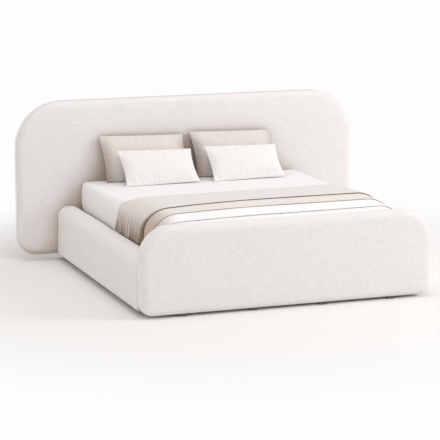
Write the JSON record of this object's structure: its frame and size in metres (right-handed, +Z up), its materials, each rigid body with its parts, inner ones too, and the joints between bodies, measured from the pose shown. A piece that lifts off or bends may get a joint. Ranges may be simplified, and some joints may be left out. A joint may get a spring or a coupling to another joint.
{
  "type": "box spring bed",
  "caption": "Upholstered bed with rounded padded headboard, footboard and side rails round sprung bases and a mattress, made up with duvet layers, a pleated throw and pillows.",
  "frame": {"origin": "on the floor, under the middle of the whole bed's bounding box", "axes": "+X across the bed to the right as seen from the foot end, +Y from the foot towards the headboard, +Z up"},
  "size_m": [2.8, 2.27, 1.24],
  "materials": {
    "upholstery": "woven",
    "foam": "matte",
    "plywood": "raw",
    "timber": "raw",
    "slat_wood": "raw",
    "lining": "matte",
    "feet_plastic": "matte",
    "bracket_steel": "zinc plated",
    "bolt_steel": "zinc plated",
    "beam_steel": "satin",
    "ticking": "woven",
    "wadding": "matte",
    "pocket_springs": "matte",
    "sheet_white": "woven",
    "duvet_white": "woven",
    "blanket_cream": "woven",
    "throw_greige": "woven",
    "pillow_beige": "woven",
    "pillow_white": "woven"
  },
  "bodies": {
    "bed_frame": {"headboard_cover": "upholstery", "headboard_foam": "foam", "headboard_panel": "plywood", "headboard_studs": "timber", "headboard_lining": "lining", "headboard_feet": "feet_plastic", "footboard_cover": "upholstery", "footboard_foam": "foam", "footboard_panel": "plywood", "footboard_studs": "timber", "footboard_inner_board": "plywood", "footboard_glides": "feet_plastic", "left_rail_cover": "upholstery", "left_rail_foam": "foam", "left_rail_box": "timber", "left_ledger": "timber", "right_rail_cover": "upholstery", "right_rail_foam": "foam", "right_rail_box": "timber", "right_ledger": "timber", "corner_brackets": "bracket_steel", "bracket_bolts": "bolt_steel", "centre_beam": "beam_steel", "beam_hangers": "bracket_steel", "centre_legs": "beam_steel", "leg_glides": "feet_plastic", "slat_1": "slat_wood", "slat_2": "slat_wood", "slat_3": "slat_wood", "slat_4": "slat_wood", "slat_5": "slat_wood", "slat_6": "slat_wood", "slat_7": "slat_wood"},
    "sprung_bases": {"left_base_ticking": "ticking", "left_base_pad": "wadding", "left_base_dust_cloth": "lining", "left_base_frame": "timber", "left_base_springs": "pocket_springs", "right_base_ticking": "ticking", "right_base_pad": "wadding", "right_base_dust_cloth": "lining", "right_base_frame": "timber", "right_base_springs": "pocket_springs", "base_links": "bracket_steel"},
    "mattress": {"fitted_sheet": "sheet_white", "mattress_cover": "ticking", "mattress_lower_foam": "foam", "mattress_upper_foam": "foam", "mattress_side_foam": "foam", "mattress_springs": "pocket_springs"},
    "duvet": {"duvet": "duvet_white"},
    "coverlet": {"coverlet": "duvet_white"},
    "blanket": {"blanket": "blanket_cream"},
    "throw": {"throw": "throw_greige"},
    "left_back_pillow": {"left_back_pillow": "pillow_beige"},
    "right_back_pillow": {"right_back_pillow": "pillow_beige"},
    "left_front_pillow": {"left_front_pillow": "pillow_white"},
    "right_front_pillow": {"right_front_pillow": "pillow_white"}
  },
  "joints": [
    {"name": "bases_lift", "type": "slide", "parent": "bed_frame", "child": "sprung_bases", "axis": [0, 0, 1], "range_m": [0, 0.6]},
    {"name": "mattress_lift", "type": "slide", "parent": "sprung_bases", "child": "mattress", "axis": [0, 0, 1], "range_m": [0, 0.4]},
    {"name": "duvet_lift", "type": "slide", "parent": "mattress", "child": "duvet", "axis": [0, 0, 1], "range_m": [0, 0.3]},
    {"name": "coverlet_lift", "type": "slide", "parent": "duvet", "child": "coverlet", "axis": [0, 0, 1], "range_m": [0, 0.3]},
    {"name": "blanket_lift", "type": "slide", "parent": "coverlet", "child": "blanket", "axis": [0, 0, 1], "range_m": [0, 0.3]},
    {"name": "throw_lift", "type": "slide", "parent": "blanket", "child": "throw", "axis": [0, 0, 1], "range_m": [0, 0.3]},
    {"name": "left_back_pillow_lift", "type": "slide", "parent": "mattress", "child": "left_back_pillow", "axis": [0, 0, 1], "range_m": [0, 0.6]},
    {"name": "right_back_pillow_lift", "type": "slide", "parent": "mattress", "child": "right_back_pillow", "axis": [0, 0, 1], "range_m": [0, 0.6]},
    {"name": "left_front_pillow_lift", "type": "slide", "parent": "left_back_pillow", "child": "left_front_pillow", "axis": [0, 0, 1], "range_m": [0, 0.45]},
    {"name": "right_front_pillow_lift", "type": "slide", "parent": "right_back_pillow", "child": "right_front_pillow", "axis": [0, 0, 1], "range_m": [0, 0.45]}
  ]
}
